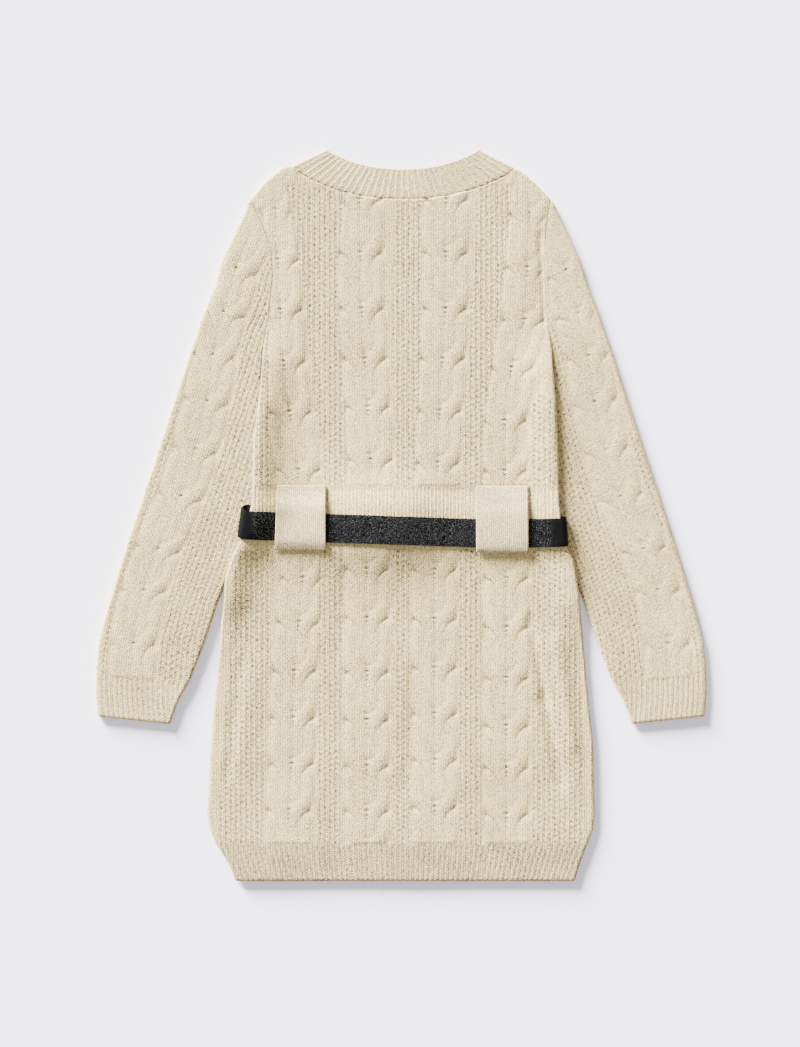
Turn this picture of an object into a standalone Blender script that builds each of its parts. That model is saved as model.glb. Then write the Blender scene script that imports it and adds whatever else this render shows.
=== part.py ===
"""Sweater dress with its belt, laid flat with the back up.

The body is a flattened tube: a front panel on the surface, a back panel on top of it,
rolled together at the side seams.  The sleeves lie partly under the body's edges, and
the belt runs over the back, through two wide knitted loops, and under the front, where
its buckle is.

Blender 4.5.  The model is in metres with +Z up: +Y points to the neck and +X to the
wearer's right.  The tables and sizes below are in millimetres and become metres where a
mesh is made.  In the tables, "up" is the height above the hem, measured on the surface
that the dress lies on.
"""
import math

import bpy

MM = 0.001

# Cloth and seams
CLOTH = 3.0            # thickness of the knit
LAYER_GAP = 1.4        # air between the front and the back of the flattened tube
SEAM_GAP = 0.3         # air where two pieces are sewn together
SEAM_RADIUS = 1.6      # mid-surface radius of the roll into a side seam
EDGE_GAP = 0.4         # air between two cut edges that lie in one plane
FRONT_MID = CLOTH / 2
BACK_MID = FRONT_MID + CLOTH + LAYER_GAP
FOLD_MID = (FRONT_MID + BACK_MID) / 2
FOLD_RADIUS = (BACK_MID - FRONT_MID) / 2
FOLD_INSET = FOLD_RADIUS + CLOTH / 2

# Belt and buckle
BELT_WIDTH = 31.0
BELT_THICK = 1.6
BELT_OVER = 3.1        # mid of the back run above the mid of the back panel
BELT_UNDER = 3.0       # mid of the front run below the mid of the front panel
LOOP_WALL = 2.5
LOOP_ON_CLOTH = 3.15   # mid of a loop above the mid of the back panel, at its sewn ends
LOOP_ON_BELT = 5.75    # the same, where the loop crosses the belt
WIRE = 2.4             # thickness of the buckle's frame
PRONG_WIRE = 1.4
FRAME_HALF = 11.0      # half the distance between the frame's two upright bars
LEFT_BAR_UP = 5.4      # height of the bar that holds the strap's end
RIGHT_BAR_UP = 3.5
KEEPER_WIDTH = 8.0
KEEPER_WALL = 1.2
KEEPER_X = -40.0
KEEPER_FOOT = 0.1      # height of the keeper's underside above the surface
KEEPER_ROOM = 6.4      # height above the surface up to which the keeper is open
KEEPER_SIDE_ROOM = 1.0  # air beside the strap in the keeper, and in the frame
FRAME_SIDE_ROOM = 1.2
KEEPER_CORNER = 1.4    # corner radii of the middle lines of keeper and frame
FRAME_CORNER = 2.0
HOLE_WIDTH = 4.4
RING_GAP = 0.35        # air between the left bar and the prong's ring round it
RING_ANGLES = range(285, 15, -30)
BEND_X = 176           # where the straight runs of the belt meet its bends
SIDE_X = 118           # past this, the belt has a line of points at each column of its two edges
FRONT_LEFT_X = -90     # the front run follows the panel's columns to the left of this,
FRONT_RIGHT_X = 40     # and to the right of this,
FRONT_START_X = 30     # and starts here on its way to the frame

ORIGIN_UP = 399.7      # the model's origin lies this far above the hem
SHOULDER_TIP = 744.0
NECK_MID = 2.5         # the neck lies a little to the right of the middle
NECK_HALF = 123.5
RIM_MID = 2.0          # the same two sizes for the neckband's free edge
RIM_HALF = 85.0
RIM_PEAK = 799.4

# Outline of the body
OUTLINE = (
    # up, left half width, right half width
    (0, 181, 190),
    (20, 189, 196),
    (40, 202, 204),
    (56, 209, 210),
    (72, 212, 212),
    (110, 210, 211),
    (154, 208, 210),
    (198, 204, 205),
    (242, 199, 201),
    (285, 196, 197),
    (307, 193, 195),
    (329, 192, 192),
    (351, 186, 188),
    (363, 180, 181),
    (387, 169, 175.5),
    (411, 163, 172.5),
    (423, 162.5, 172.5),
    (448, 162, 172),
    (482, 161, 171),
    (526, 155, 169),
    (560, 152, 166),
    (579, 151, 165),
    (600, 148, 162),
    (614, 145, 160),
    (635, 143, 160),
    (662, 140, 158),
    (690, 142, 157),
    (717, 152, 160),
    (744, 165, 164),
)
ROWS = [row[0] for row in OUTLINE]

# Shoulder line, from the tip towards the neck
SHOULDER = (
    # inset from the tip, up on the left, up on the right
    (0, 744, 744),
    (10, 756, 755),
    (20, 767, 765.5),
    (32, 777.5, 775.5),
    (40, 781, 779),
)

# Where each panel starts to follow the shoulder line, and its neck edge
PANELS = {
    # name: (up where the rows start to bend, up at the neck's middle, power of its curve)
    "back_panel": (690, 745.4, 2.3),
    "front_panel": (614, 680, 2.6),
}
# Free edge of the neckband over the back and over the front
RIMS = {
    # layer: (up at its middle, power of its curve)
    "back_panel": (777.7, 2.2),
    "front_panel": (712, 2.6),
}
NECK_STEPS = 10
SIDE_INSETS = (10, 20, 32)

# How far the body rises over what lies under it
SLEEVE_RISE = 7.8
SLEEVE_RISE_BY_INSET = ((10, 1.0), (20, 0.62), (32, 0.12), (44, 0.0))
SLEEVE_RISE_BY_UP = ((262, 0.0), (285, 0.4), (307, 0.9), (318, 1.0), (548, 1.0), (579, 0.4), (606, 0.0))
# How far the panels' edges roll into the side seams, which open out into the armholes
SEAM_INSET_BY_UP = ((526, 1.0), (560, 0.85), (579, 0.65), (600, 0.35), (614, 0.0))
SEAM_DROP_BY_UP = ((526, 1.0), (560, 0.68), (579, 0.33), (600, 0.08), (614, 0.0))
BELT_RISE = 2.5
BELT_RISE_BY_UP = ((351, 0.0), (363, 1.0), (411, 1.0), (423, 0.0))
BUCKLE_RISE_BY_X = (
    # x, rise over the buckle and over the strap's tail, beyond BELT_RISE
    (-124, 0.0),
    (-98, 2.4),
    (-72, 3.4),
    (-46, 6.0),
    (-20, 7.6),
    (7, 7.2),
    (33, 3.0),
    (59, 0.0),
)
BUCKLE_RISE_BY_UP = (
    # up, share of the rise
    (307, 0.0),
    (329, 0.2),
    (351, 0.8),
    (363, 1.0),
    (411, 1.0),
    (423, 0.8),
    (448, 0.2),
    (482, 0.0),
)

# Largest folds of the back: soft ridges between two points
FOLDS = (
    # x, up at one end, x, up at the other, half width, height
    (172, 268, 190, 118, 22, 2.4),
    (-158, 250, -178, 140, 22, 1.6),
    (128, 690, 133, 628, 16, 1.6),
    (-118, 700, -114, 634, 16, 1.8),
    (60, 230, 74, 96, 26, 1.2),
)

FOLD_START_INSET = 4   # no fold nearer than this to the body's edge
FOLD_FADE = 12         # over which the folds then reach their height

# Sleeve, from the cuff's end to the shoulder tip; the right one is its mirror image
FREE_SLEEVE = (
    # outer x, outer up, inner x, inner up
    (332, 180, 252.5, 171.5),
    (334.5, 205, 243, 198),
    (334, 229, 231, 218),
    (331, 262, 215, 259),
    (319, 307, 200, 304),
)
TUCKED_SLEEVE = (
    # outer x, outer up, how far the inner edge lies under the body's edge, inner up
    (308, 343, 2, 329),
    (299, 371, 5, 351),
    (288, 405, 6, 382),
    (277, 438, 7, 415),
    (264, 477, 8, 460),
    (248, 526, 7, 510),
    (243, 541, 4, 528),
    (236, 563, -1.2, 546),
    (229, 584, -1.2, 575),
    (221, 607, -1.2, 600),
    (211, 635, -1.0, 614),
    (204, 651, -0.5, 635),
    (196, 679, -EDGE_GAP, 662),
    (185, 703, -EDGE_GAP, 690),
    (174, 726, -EDGE_GAP, 717),
    (169.5, 735.5, -EDGE_GAP, 740),
)

# Belt loops on the back
LOOPS = {
    # name: (left x, right x, lower end, upper end)
    "belt_loop_left": (-138, -82, 357.5, 433),
    "belt_loop_right": (82, 139, 356, 432),
}
LOOP_PROFILE = (
    # distance above the belt's middle line, share of the way from the cloth to the belt's top
    (-21.0, 0.3),
    (-17.5, 1.0),
    (0.0, 1.08),
    (17.5, 1.0),
    (24.0, 0.7),
    (34.0, 0.2),
)
LOOP_COLUMNS = 5

# The belt's middle line, above the hem
BACK_RUN = (
    # x, up
    (-BEND_X, 389.5),
    (-163, 388.5),
    (-110, 386.5),
    (0, 383),
    (83, 380),
    (140, 380),
    (BEND_X, 381),
)
FRONT_RUN = ((-BEND_X, 396), (BEND_X, 383))
BEND_STEPS = 6
BEND_RADIUS = 5.2
# Outermost x of the belt's two bends, at two heights
LEFT_BEND = ((372, -179.2), (409, -174.1))
RIGHT_BEND = ((365, 182.6), (397, 180.6))

# Front run near the buckle, as heights of the strap's mid above the surface
STRAP_END = (
    # x, mid height: the strap's end, folded back under the strap
    (-30, 3.9),
    (-23, 3.3),
    (-16, 3.0),
)
STRAP_TO_LEFT = (
    # x, mid height, from the buckle to where the strap follows the panel again
    (-16, 7.5),
    (-23, 6.8),
    (-30, 6.0),
    (-36, 5.1),
    (-44, 4.8),
    (-56, 4.2),
    (-72, 3.6),
)
TAIL = (
    # x, mid height, share of the full width, from the frame to the strap's tip
    (17, 6.4, 1.0),
    (11, 6.0, 1.0),
    (6, 4.4, 1.0),
    (1, 2.7, 1.0),
    (-4, 1.4, 1.0),
    (-11, 1.0, 1.0),
    (-23, 1.3, 1.0),
    (-30, 1.9, 1.0),
    (-36, 2.5, 1.0),
    (-44, 2.5, 1.0),
    (-52, 1.5, 1.0),
    (-60, 1.0, 1.0),
    (-86, 1.0, 1.0),
    (-92, 1.0, 0.8),
    (-96, 1.0, 0.42),
)
PRONG = (
    # x, height of the prong from its ring to its tip on the far bar
    (-6, 4.5),
    (-2, 3.1),
    (2, 2.1),
    (7, 1.4),
    (12.6, 1.2),
)


def between(value, table):
    """Read a table of (position, result) rows, straight between rows and flat beyond them."""
    if value <= table[0][0]:
        return table[0][1]
    for (low, start), (high, end) in zip(table, table[1:]):
        if value <= high:
            return start + (end - start) * (value - low) / (high - low)
    return table[-1][1]


def half_width(side, up):
    """Half width of the body on one side (-1 left, 1 right)."""
    column = 1 if side < 0 else 2
    return between(up, [(row[0], row[column]) for row in OUTLINE])


def rise(x, up):
    """How far both panels are lifted at a point by the sleeves, the belt and the buckle."""
    inset = half_width(math.copysign(1, x), up) - abs(x)
    sleeve = SLEEVE_RISE * between(inset, SLEEVE_RISE_BY_INSET) * between(up, SLEEVE_RISE_BY_UP)
    belt = BELT_RISE * between(up, BELT_RISE_BY_UP)
    buckle = between(x, BUCKLE_RISE_BY_X) * between(up, BUCKLE_RISE_BY_UP)
    return sleeve + belt + buckle


def fold(x, up):
    """Height of the back's own folds at a point; they fade out towards the side seams."""
    inset = half_width(math.copysign(1, x), up) - abs(x)
    total = 0.0
    for x0, up0, x1, up1, half, height in FOLDS:
        length = math.hypot(x1 - x0, up1 - up0)
        along = ((x - x0) * (x1 - x0) + (up - up0) * (up1 - up0)) / length
        across = ((x - x0) * (up1 - up0) - (up - up0) * (x1 - x0)) / length
        beyond = max(0.0, -along, along - length)
        reach = math.hypot(across / half, beyond / (1.6 * half))
        if reach < 1:
            total += height * (0.5 + 0.5 * math.cos(math.pi * reach))
    return total * min(1.0, max(0.0, (inset - FOLD_START_INSET) / FOLD_FADE))


def neck_x(u, middle=NECK_MID, half=NECK_HALF):
    return middle + half * u


def neck_edge(panel, u):
    """Up of a panel's neck edge, for u from -1 at the left shoulder to 1 at the right."""
    low, power = PANELS[panel][1:]
    high = SHOULDER[-1][1] if u < 0 else SHOULDER[-1][2]
    return low + (high - low) * abs(u) ** power


def rim_edge(panel, u):
    """Up of the neckband's free edge over one panel."""
    low, power = RIMS[panel]
    return low + (RIM_PEAK - low) * abs(u) ** power


def seam_roll(up):
    """Columns of a side seam from its end inwards, as (inset, drop towards the other panel)."""
    middle = CLOTH / 2 + SEAM_RADIUS
    angles = [math.radians(degrees) for degrees in (0, 30, 60, 90)]
    columns = [(middle - SEAM_RADIUS * math.cos(a), SEAM_RADIUS * (1 - math.sin(a))) for a in angles]
    columns.insert(0, (columns[0][0], FOLD_RADIUS - SEAM_GAP / 2))
    rolled = between(up, SEAM_INSET_BY_UP)
    last = len(columns) - 1
    return [
        (inset * rolled + middle * index / last * (1 - rolled), drop * between(up, SEAM_DROP_BY_UP))
        for index, (inset, drop) in enumerate(columns)
    ]


def flat_columns(up):
    """x of the columns between the two seam rolls, at one height, left to right."""
    left = half_width(-1, up)
    right = half_width(1, up)
    first = -(left - SIDE_INSETS[-1])
    last = right - SIDE_INSETS[-1]
    top_first = -(half_width(-1, SHOULDER_TIP) - SIDE_INSETS[-1])
    top_last = half_width(1, SHOULDER_TIP) - SIDE_INSETS[-1]
    share = (last - first) / (top_last - top_first)
    neck = [neck_x(2 * step / NECK_STEPS - 1) for step in range(NECK_STEPS + 1)]
    middle = [first + (x - top_first) * share for x in neck]
    left_side = [inset - left for inset in SIDE_INSETS]
    right_side = [right - inset for inset in reversed(SIDE_INSETS)]
    return left_side + middle + right_side


def panel_rise(x, up):
    """Rise of the panels' facets at a point: straight between their rows and columns."""
    above = next(index for index, row in enumerate(ROWS) if row >= up)
    low = ROWS[above - 1]
    high = ROWS[above]
    share = (up - low) / (high - low)
    edge = CLOTH / 2 + SEAM_RADIUS
    table = []
    for row in (low, high):
        xs = [edge - half_width(-1, row)] + flat_columns(row) + [half_width(1, row) - edge]
        table.append([(column, rise(column, row)) for column in xs])
    nodes = [
        (a[0] + (b[0] - a[0]) * share, a[1] + (b[1] - a[1]) * share)
        for a, b in zip(*table)
    ]
    return between(x, nodes)


def row_points(panel, edge_up):
    """One row of a panel's mid-surface, from the left edge to the right edge."""
    bend_up = PANELS[panel][0]
    back = panel == "back_panel"
    level = BACK_MID if back else FRONT_MID
    towards = -1 if back else 1
    share = max(0.0, (edge_up - bend_up) / (SHOULDER_TIP - bend_up))
    at_shoulder = edge_up == SHOULDER_TIP
    roll = seam_roll(edge_up)

    def point(x, top_up, drop, seat_x, shoulder):
        up = edge_up if share == 0 else bend_up + share * (top_up - bend_up)
        z = level + rise(seat_x, min(edge_up, up)) + towards * drop
        if back:
            z += fold(x, up) * (1 - share)
        if back and shoulder:
            z -= LAYER_GAP - SEAM_GAP
        return (x, up, z)

    def side_points(side):
        width = half_width(side, edge_up)
        column = 1 if side < 0 else 2
        shoulder = [(row[0], row[column]) for row in SHOULDER]
        insets = roll + [(inset, 0.0) for inset in SIDE_INSETS]
        seat = side * (width - roll[-1][0])
        points = []
        for inset, drop in insets:
            x = side * (width - inset)
            seat_x = seat if inset < roll[-1][0] else x
            points.append(point(x, between(inset, shoulder), drop, seat_x, at_shoulder))
        return points

    middle = []
    xs = flat_columns(edge_up)[len(SIDE_INSETS):-len(SIDE_INSETS)]
    for step, x in enumerate(xs):
        u = 2 * step / NECK_STEPS - 1
        corner = step in (0, NECK_STEPS)
        middle.append(point(x, neck_edge(panel, u), 0.0, x, at_shoulder and corner))
    return side_points(-1) + middle + side_points(1)[::-1]


def sleeve_rows(side):
    """Sections of a sleeve: each goes from the top layer's seam, round the fold, and back."""
    plan = [((side * ox, oup), (side * ix, iup)) for ox, oup, ix, iup in FREE_SLEEVE]
    for ox, oup, tuck, iup in TUCKED_SLEEVE:
        plan.append(((side * ox, oup), (side * (half_width(side, iup) - tuck), iup)))
    rows = []
    for outer, inner in plan:
        width = math.dist(outer, inner)
        roll = seam_roll(inner[1])
        halfway = (FOLD_INSET + width - roll[-1][0]) / 2
        top = [(width - inset, BACK_MID - drop) for inset, drop in roll] + [(halfway, BACK_MID)]
        turn = [math.radians(degrees) for degrees in (90, 135, 180, 225, 270)]
        bend = [
            (FOLD_INSET + FOLD_RADIUS * math.cos(a), FOLD_MID + FOLD_RADIUS * math.sin(a))
            for a in turn
        ]
        bottom = [(s, 2 * FOLD_MID - z) for s, z in reversed(top)]
        row = []
        for s, z in top + bend + bottom:
            share = s / width
            x = outer[0] + (inner[0] - outer[0]) * share
            up = outer[1] + (inner[1] - outer[1]) * share
            row.append((x, up, z))
        rows.append(row)
    return rows


def band_section(panel, step):
    """Seam point and free-edge point of one section of the neckband."""
    u = 2 * step / NECK_STEPS - 1
    return (neck_x(u), neck_edge(panel, u)), (neck_x(u, RIM_MID, RIM_HALF), rim_edge(panel, u))


def shoulder_direction(step):
    """Unit vector out of the neckband's fold at one shoulder, square to the fold line."""
    seam, rim = band_section("back_panel", step)
    length = math.dist(seam, rim)
    side = -1 if step == 0 else 1
    return side * abs(rim[1] - seam[1]) / length, abs(rim[0] - seam[0]) / length


def fold_start(step):
    """The section where the band starts to turn round a shoulder fold, clear of the fold line."""
    out_x, out_up = shoulder_direction(step)
    following = band_section("back_panel", step + 1 if step == 0 else step - 1)
    ends = []
    for start, end in zip(band_section("back_panel", step), following):
        inward = (start[0] - end[0]) * out_x + (start[1] - end[1]) * out_up
        share = FOLD_INSET / inward
        ends.append((start[0] + (end[0] - start[0]) * share, start[1] + (end[1] - start[1]) * share))
    return ends


def neckband_rows():
    """Sections round the neckband, each from the seam to the free edge."""
    def row(ends, level, reach=(0.0, 0.0)):
        seam, rim = ends
        gap = EDGE_GAP / math.dist(seam, rim)
        points = []
        for share in (gap, (1 + gap) / 2, 1.0):
            x = seam[0] + (rim[0] - seam[0]) * share + reach[0]
            up = seam[1] + (rim[1] - seam[1]) * share + reach[1]
            points.append((x, up, level))
        return points

    def layer(panel, level):
        middle = [row(band_section(panel, step), level) for step in range(1, NECK_STEPS)]
        return [row(fold_start(0), level)] + middle + [row(fold_start(NECK_STEPS), level)]

    def turn(step, angles):
        out_x, out_up = shoulder_direction(step)
        rows = []
        for degrees in angles:
            reach = FOLD_RADIUS * math.sin(math.radians(degrees))
            level = FOLD_MID + FOLD_RADIUS * math.cos(math.radians(degrees))
            rows.append(row(fold_start(step), level, (out_x * reach, out_up * reach)))
        return rows

    over = layer("back_panel", BACK_MID)
    under = layer("front_panel", FRONT_MID)[::-1]
    return over + turn(NECK_STEPS, (45, 90, 135)) + under + turn(0, (135, 90, 45))


def loop_rows(name):
    """Rows of a belt loop, made from the back panel's points and moved out."""
    left, right, low, high = LOOPS[name]
    xs = [left + (right - left) * column / (LOOP_COLUMNS - 1) for column in range(LOOP_COLUMNS)]
    lines = [([low] * LOOP_COLUMNS, 0.0)]
    for offset, share in LOOP_PROFILE:
        lines.append(([between(x, BACK_RUN) + offset for x in xs], share))
    lines.append(([high] * LOOP_COLUMNS, 0.0))
    rows = []
    for ups, share in lines:
        lift = LOOP_ON_CLOTH + (LOOP_ON_BELT - LOOP_ON_CLOTH) * share
        rows.append([(x, up, BACK_MID + panel_rise(x, up) + lift) for x, up in zip(xs, ups)])
    return rows


def across_belt(middle, width=1.0):
    """Heights above the hem of the strap's four lines of points, across its width."""
    half = BELT_WIDTH / 2 * width
    hole = HOLE_WIDTH / 2 * width
    return [middle - half, middle - hole, middle + hole, middle + half]


def bend_rows(side):
    """The belt's bend round one edge of the body, from the back run to the front run."""
    line = LEFT_BEND if side < 0 else RIGHT_BEND
    rows = []
    for step in range(BEND_STEPS + 1):
        angle = math.pi * step / BEND_STEPS
        start = between(side * BEND_X, BACK_RUN)
        end = between(side * BEND_X, FRONT_RUN)
        row = []
        for up in across_belt(start + (end - start) * step / BEND_STEPS):
            centre = between(up, line) - side * (BEND_RADIUS + BELT_THICK / 2)
            seat = panel_rise(centre, up)
            top = BACK_MID + seat + BELT_OVER
            bottom = FRONT_MID + seat - BELT_UNDER
            z = (top + bottom) / 2 + (top - bottom) / 2 * math.cos(angle)
            row.append((centre + side * BEND_RADIUS * math.sin(angle), up, z))
        rows.append(row)
    return rows


def run_rows(xs, centre_line, level):
    """A stretch of the belt that follows the panels at the given x places."""
    rows = []
    for x in xs:
        row = []
        for up in across_belt(between(x, centre_line)):
            row.append((x, up, level + panel_rise(x, up)))
        rows.append(row)
    return rows


def buckle_rows(table):
    """A stretch of the belt at the buckle, at the heights that a table gives."""
    rows = []
    for x, z, *width in table:
        ups = across_belt(between(x, FRONT_RUN), *width)
        rows.append([(x, up, z) for up in ups])
    return rows


def strap_rows():
    """The whole strap, from its sewn end at the buckle once round the dress to its tip."""
    wrap = WIRE / 2 + EDGE_GAP + BELT_THICK / 2
    turn = [math.radians(degrees) for degrees in (-90, -45, 0, 45, 90)]
    round_bar = [(-FRAME_HALF + wrap * math.cos(a), LEFT_BAR_UP + wrap * math.sin(a)) for a in turn]
    middle_up = between(0, BACK_RUN)
    edge_ups = (middle_up - BELT_WIDTH / 2, middle_up, middle_up + BELT_WIDTH / 2)
    sides = [x for up in edge_ups for x in flat_columns(up) if abs(x) > SIDE_X]
    places = sorted(sides + [x for x in flat_columns(middle_up) if abs(x) <= SIDE_X])
    level = FRONT_MID - BELT_UNDER
    to_left = [x for x in reversed(places) if x < FRONT_LEFT_X]
    to_right = [FRONT_START_X] + [x for x in places if x > FRONT_RIGHT_X]
    rows = buckle_rows(STRAP_END) + buckle_rows(round_bar) + buckle_rows(STRAP_TO_LEFT)
    rows += run_rows(to_left, FRONT_RUN, level)
    rows += bend_rows(-1)[::-1]
    rows += run_rows(places, BACK_RUN, BACK_MID + BELT_OVER)
    rows += bend_rows(1)
    rows += run_rows(to_right[::-1], FRONT_RUN, level)
    return rows + buckle_rows(TAIL)


def strap_holes(rows):
    """Index pairs of the strap's middle quads that are left out round the prong."""
    heel = range(len(STRAP_END) - 1, len(STRAP_END) + 5)
    first_tail = len(rows) - len(TAIL)
    in_tail = range(first_tail + 2, first_tail + 4)
    return {(row, 1) for row in (*heel, *in_tail)}


def keeper_rows():
    """The keeper: a flat ring round the strap and its tail."""
    middle = between(KEEPER_X, FRONT_RUN)
    half = BELT_WIDTH / 2 + KEEPER_SIDE_ROOM + KEEPER_WALL / 2
    low = KEEPER_FOOT + KEEPER_WALL / 2
    high = KEEPER_ROOM + KEEPER_WALL / 2
    corner = KEEPER_CORNER
    rows = []
    corners = ((1, high, 0), (-1, high, 90), (-1, low, 180), (1, low, 270))
    for side, z, start in corners:
        inward = -1 if z == high else 1
        for degrees in (0, 45, 90):
            a = math.radians(start + degrees)
            up = middle + side * (half - corner) + corner * math.cos(a)
            height = z + inward * corner + corner * math.sin(a)
            xs = (KEEPER_X - KEEPER_WIDTH / 2, KEEPER_X + KEEPER_WIDTH / 2)
            rows.append([(x, up, height) for x in xs])
    return rows


def frame_path():
    """Middle line of the buckle's wire frame, with rounded corners."""
    middle = between(0, FRONT_RUN)
    half = BELT_WIDTH / 2 + FRAME_SIDE_ROOM + WIRE / 2
    corner = FRAME_CORNER
    slope = (RIGHT_BAR_UP - LEFT_BAR_UP) / (2 * FRAME_HALF)
    points = []
    for side_x, side_up, start in ((1, 1, 0), (-1, 1, 90), (-1, -1, 180), (1, -1, 270)):
        for degrees in (0, 30, 60, 90):
            a = math.radians(start + degrees)
            x = side_x * (FRAME_HALF - corner) + corner * math.cos(a)
            up = middle + side_up * (half - corner) + corner * math.sin(a)
            points.append((x, up, (LEFT_BAR_UP + RIGHT_BAR_UP) / 2 + slope * x))
    return points


def prong_path():
    """Middle line of the prong: a ring round the left bar, then down to the far bar."""
    middle = between(0, FRONT_RUN)
    ring = WIRE / 2 + RING_GAP + PRONG_WIRE / 2
    points = []
    for degrees in RING_ANGLES:
        a = math.radians(degrees)
        points.append((-FRAME_HALF + ring * math.cos(a), middle, LEFT_BAR_UP + ring * math.sin(a)))
    return points + [(x, middle, z) for x, z in PRONG]


def to_metres(point):
    x, up, z = point
    return (x * MM, (up - ORIGIN_UP) * MM, z * MM)


def material(name, colour, roughness, metallic=0.0):
    made = bpy.data.materials.new(name)
    made.use_nodes = True
    shader = made.node_tree.nodes["Principled BSDF"]
    shader.inputs["Base Color"].default_value = (*colour, 1.0)
    shader.inputs["Roughness"].default_value = roughness
    shader.inputs["Metallic"].default_value = metallic
    return made


def shell(collection, name, rows, thickness, finish, closed=False, holes=frozenset()):
    """One piece of sheet: a grid of mid-surface points, thickened to both sides."""
    columns = len(rows[0])
    vertices = [to_metres(point) for row in rows for point in row]
    faces = []
    for row in range(len(rows) if closed else len(rows) - 1):
        below = row * columns
        above = (row + 1) % len(rows) * columns
        for column in range(columns - 1):
            if (row, column) not in holes:
                faces.append((below + column, below + column + 1, above + column + 1, above + column))
    mesh = bpy.data.meshes.new(name)
    mesh.from_pydata(vertices, [], faces)
    mesh.materials.append(finish)
    mesh.shade_smooth()
    piece = bpy.data.objects.new(name, mesh)
    collection.objects.link(piece)
    wall = piece.modifiers.new("wall", "SOLIDIFY")
    wall.thickness = thickness * MM
    wall.offset = 0.0
    return piece


def wire(collection, name, path, thickness, finish, cyclic):
    """A round wire along a path."""
    curve = bpy.data.curves.new(name, "CURVE")
    curve.dimensions = "3D"
    curve.bevel_depth = thickness / 2 * MM
    curve.bevel_resolution = 2
    curve.use_fill_caps = True
    spline = curve.splines.new("POLY")
    spline.points.add(len(path) - 1)
    for target, point in zip(spline.points, path):
        target.co = (*to_metres(point), 1.0)
    spline.use_cyclic_u = cyclic
    curve.materials.append(finish)
    piece = bpy.data.objects.new(name, curve)
    collection.objects.link(piece)
    return piece


def build():
    for thing in list(bpy.data.objects):
        bpy.data.objects.remove(thing, do_unlink=True)
    dress = bpy.data.collections.new("sweater_dress")
    bpy.context.scene.collection.children.link(dress)

    knit = material("cream_knit", (0.74, 0.66, 0.52), 0.9)
    fine_knit = material("fine_knit", (0.72, 0.65, 0.54), 0.9)
    leather = material("black_leather", (0.02, 0.02, 0.022), 0.45)
    metal = material("dark_metal", (0.30, 0.30, 0.31), 0.35, 1.0)

    for name in PANELS:
        rows = [row_points(name, up) for up in ROWS]
        shell(dress, name, rows, CLOTH, knit)
    for name, side in (("sleeve_left", -1), ("sleeve_right", 1)):
        shell(dress, name, sleeve_rows(side), CLOTH, knit)
    shell(dress, "neckband", neckband_rows(), CLOTH, knit, closed=True)
    for name in LOOPS:
        shell(dress, name, loop_rows(name), LOOP_WALL, fine_knit)
    rows = strap_rows()
    shell(dress, "belt_strap", rows, BELT_THICK, leather, holes=strap_holes(rows))
    shell(dress, "belt_keeper", keeper_rows(), KEEPER_WALL, leather, closed=True)
    wire(dress, "buckle_frame", frame_path(), WIRE, metal, cyclic=True)
    wire(dress, "buckle_prong", prong_path(), PRONG_WIRE, metal, cyclic=False)


build()
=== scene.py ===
"""Looks of the sweater dress: chunky cable knit, leather belt and two fine-knit loops.

The dress lies on its front.  All sizes below are in millimetres and become metres where
a mesh is made.  "Up" is the height above the hem, measured on the floor.  Heights above
the floor come from the frame's own nodes, and the knit's relief is added to them.
"""

import math

import bpy
import numpy as np
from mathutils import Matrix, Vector
from mathutils.bvhtree import BVHTree


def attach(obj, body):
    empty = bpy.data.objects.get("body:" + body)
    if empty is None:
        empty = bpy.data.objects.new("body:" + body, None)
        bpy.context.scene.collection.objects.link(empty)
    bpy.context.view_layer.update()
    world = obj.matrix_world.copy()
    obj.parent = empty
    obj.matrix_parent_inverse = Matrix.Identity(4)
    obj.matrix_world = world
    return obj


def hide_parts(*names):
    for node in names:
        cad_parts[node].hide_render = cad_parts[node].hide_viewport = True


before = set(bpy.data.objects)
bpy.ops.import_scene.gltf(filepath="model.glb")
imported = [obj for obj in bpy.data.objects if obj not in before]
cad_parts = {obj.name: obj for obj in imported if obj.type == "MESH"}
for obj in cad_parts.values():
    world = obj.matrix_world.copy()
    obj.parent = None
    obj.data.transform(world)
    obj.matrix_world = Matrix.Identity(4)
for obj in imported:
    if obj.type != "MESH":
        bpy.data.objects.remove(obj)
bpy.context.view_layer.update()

MM = 0.001
ORIGIN_UP = 399.7      # up of the frame's origin
CLOTH = 3.0
WALL = 2.5             # what is left of the cloth below its relief
RELIEF = 0.85          # how much of the knit's relief shows on the body and sleeves
STITCH = 2.7           # one V stitch of the cable knit
FOLD_MID = 3.7         # mid height of a folded edge
FOLD_RADIUS = 3.7      # outside of a folded edge
ROLL = 3.1             # outside of the body's side seams
CUT_RADIUS = 1.0       # softness of an edge that ends a piece
EDGE_TUCK = 0.3        # how far a sleeve reaches under the body at the armhole
SHOULDER_TIP = 744.0
SHOULDER_TOP = 781.0
HEM_TOP = 40.0
WAIST_LOW = 385.0      # under the belt
WAIST_TOP = 431.0

KNIT_COLOUR = (0.79, 0.59, 0.25)
LOOP_COLOUR = (0.70, 0.535, 0.265)
LEATHER_COLOUR = (0.0021, 0.0021, 0.0022)
METAL_COLOUR = (0.30, 0.30, 0.31)
FLOOR_COLOUR = (0.945, 0.895, 1.0)
FLOOR_GLOW = (0.72, 0.70, 0.92, 1.0)
SKY_COLOUR = (0.97, 0.98, 1.0, 1.0)

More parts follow.
